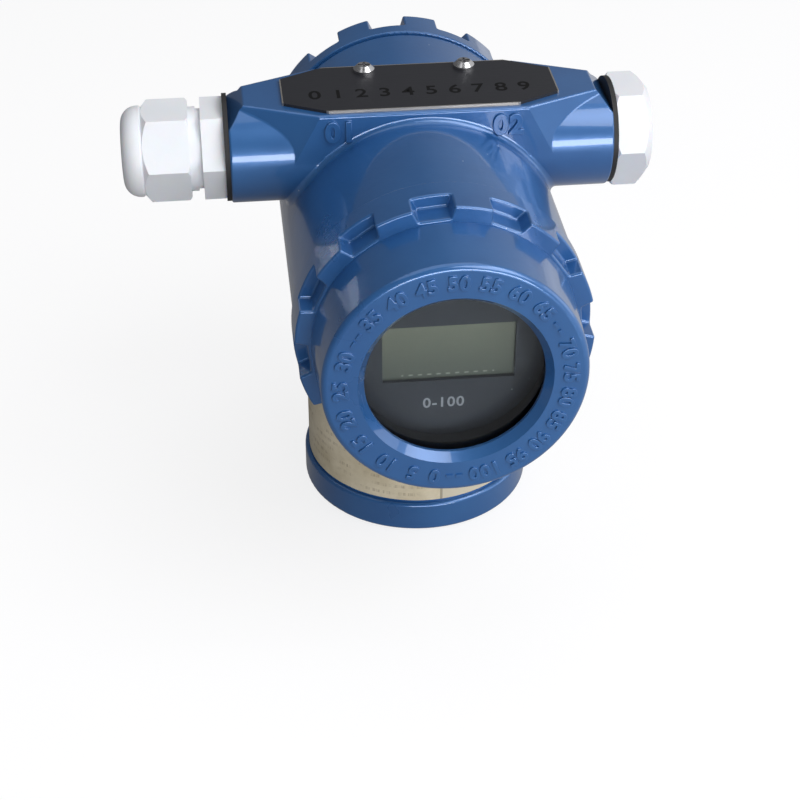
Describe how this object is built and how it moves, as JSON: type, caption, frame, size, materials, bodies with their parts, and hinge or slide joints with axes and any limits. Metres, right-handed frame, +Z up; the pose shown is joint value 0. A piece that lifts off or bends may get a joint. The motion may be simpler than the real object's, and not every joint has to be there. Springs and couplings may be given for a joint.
{
  "type": "pressure transmitter",
  "caption": "Process pressure transmitter: two-compartment blue cast housing with screw covers, round display window, cable gland and blanking plug.",
  "frame": {"origin": "centre of the process port's mouth, in the flat base of the neck", "axes": "+Z up along the neck, -Y out of the display window, -X out of the cable gland, +X out of the blanking plug"},
  "size_m": [0.1437, 0.1394, 0.1293],
  "materials": {
    "blue_enamel": "smooth glossy powder enamel on die-cast aluminium",
    "nylon_white": "moulded nylon with a soft sheen",
    "black_rubber": "matt moulded rubber",
    "window_glass": "clear polished glass",
    "plate_black": "satin black anodised aluminium plate",
    "screw_steel": "bright nickel-plated steel",
    "stainless": "turned stainless steel",
    "label_foil": "satin foil label with a warm tint",
    "dark_plastic": "dark grey moulded plastic",
    "lcd_olive": "unpowered liquid-crystal display",
    "circuit_board": "green circuit board",
    "brass": "plain turned brass",
    "terminal_plastic": "black moulded terminal plastic",
    "spring_steel": "drawn spring wire",
    "zinc_steel": "bright zinc-plated steel"
  },
  "bodies": {
    "housing": {"housing": "blue_enamel", "electronics_case": "dark_plastic", "main_board": "circuit_board", "board_screws": "screw_steel", "display_case": "dark_plastic", "display_standoffs": "brass", "display_board": "circuit_board", "lcd_panel": "lcd_olive", "display_bezel": "dark_plastic", "terminal_block": "terminal_plastic", "terminal_clamps": "zinc_steel", "terminal_screws": "zinc_steel", "ground_screw": "zinc_steel", "ground_washer": "zinc_steel", "sensor_module": "stainless", "module_o_ring": "black_rubber", "sensor_cell": "stainless", "sensor_clamp_ring": "stainless", "sensor_standoffs": "brass", "sensor_board": "circuit_board", "neck_label": "label_foil", "nameplate": "plate_black", "nameplate_screws": "screw_steel", "zero_spring": "spring_steel", "span_spring": "spring_steel", "gland_washer": "black_rubber", "gland_body": "nylon_white"},
    "front_seal": {"front_cover_o_ring": "black_rubber"},
    "front_cover": {"front_cover": "blue_enamel", "window_glass": "window_glass", "window_gasket": "black_rubber", "glass_retaining_ring": "dark_plastic"},
    "rear_seal": {"rear_cover_o_ring": "black_rubber"},
    "rear_cover": {"rear_cover": "blue_enamel"},
    "gland_clamp": {"gland_seal": "black_rubber", "gland_claw": "nylon_white"},
    "gland_nut": {"gland_nut": "nylon_white"},
    "plug_seal": {"plug_washer": "black_rubber"},
    "blanking_plug": {"blanking_plug": "nylon_white"},
    "zero_button": {"zero_button": "dark_plastic"},
    "span_button": {"span_button": "dark_plastic"}
  },
  "joints": [
    {"name": "front_cover_travel", "type": "slide", "parent": "housing", "child": "front_seal", "axis": [0, -1, 0], "range_m": [0, 0.01001]},
    {"name": "front_cover_turn", "type": "hinge", "parent": "front_seal", "child": "front_cover", "pos_m": [0, -0.0489, 0.0855], "axis": [0, -1, 0], "range_deg": [0, 1800]},
    {"name": "rear_cover_travel", "type": "slide", "parent": "housing", "child": "rear_seal", "axis": [0, 1, 0], "range_m": [0, 0.01001]},
    {"name": "rear_cover_turn", "type": "hinge", "parent": "rear_seal", "child": "rear_cover", "pos_m": [0, 0.042, 0.0855], "axis": [0, 1, 0], "range_deg": [0, 1800]},
    {"name": "gland_travel", "type": "slide", "parent": "housing", "child": "gland_clamp", "axis": [-1, 0, 0], "range_m": [0, 0.0045]},
    {"name": "gland_nut_turn", "type": "hinge", "parent": "gland_clamp", "child": "gland_nut", "pos_m": [-0.0618, 0, 0.1114], "axis": [-1, 0, 0], "range_deg": [0, 1080.54]},
    {"name": "plug_travel", "type": "slide", "parent": "housing", "child": "plug_seal", "axis": [1, 0, 0], "range_m": [0, 0.009]},
    {"name": "plug_turn", "type": "hinge", "parent": "plug_seal", "child": "blanking_plug", "pos_m": [0.0518, 0, 0.1114], "axis": [1, 0, 0], "range_deg": [0, 2161.08]},
    {"name": "zero_press", "type": "slide", "parent": "housing", "child": "zero_button", "axis": [0, 0, -1], "range_m": [0, 0.0012], "stiffness_N_per_m": 500, "springref_m": -0.0004, "deforming": ["zero_spring"]},
    {"name": "span_press", "type": "slide", "parent": "housing", "child": "span_button", "axis": [0, 0, -1], "range_m": [0, 0.0012], "stiffness_N_per_m": 500, "springref_m": -0.0004, "deforming": ["span_spring"]}
  ],
  "couplings": [
    {"joint": "front_cover_travel", "follows": "front_cover_turn", "m_per_rad": 0.00031831},
    {"joint": "rear_cover_travel", "follows": "rear_cover_turn", "m_per_rad": 0.00031831},
    {"joint": "gland_nut_turn", "follows": "gland_travel", "rad_per_m": 4188.8},
    {"joint": "plug_turn", "follows": "plug_travel", "rad_per_m": 4188.8}
  ]
}
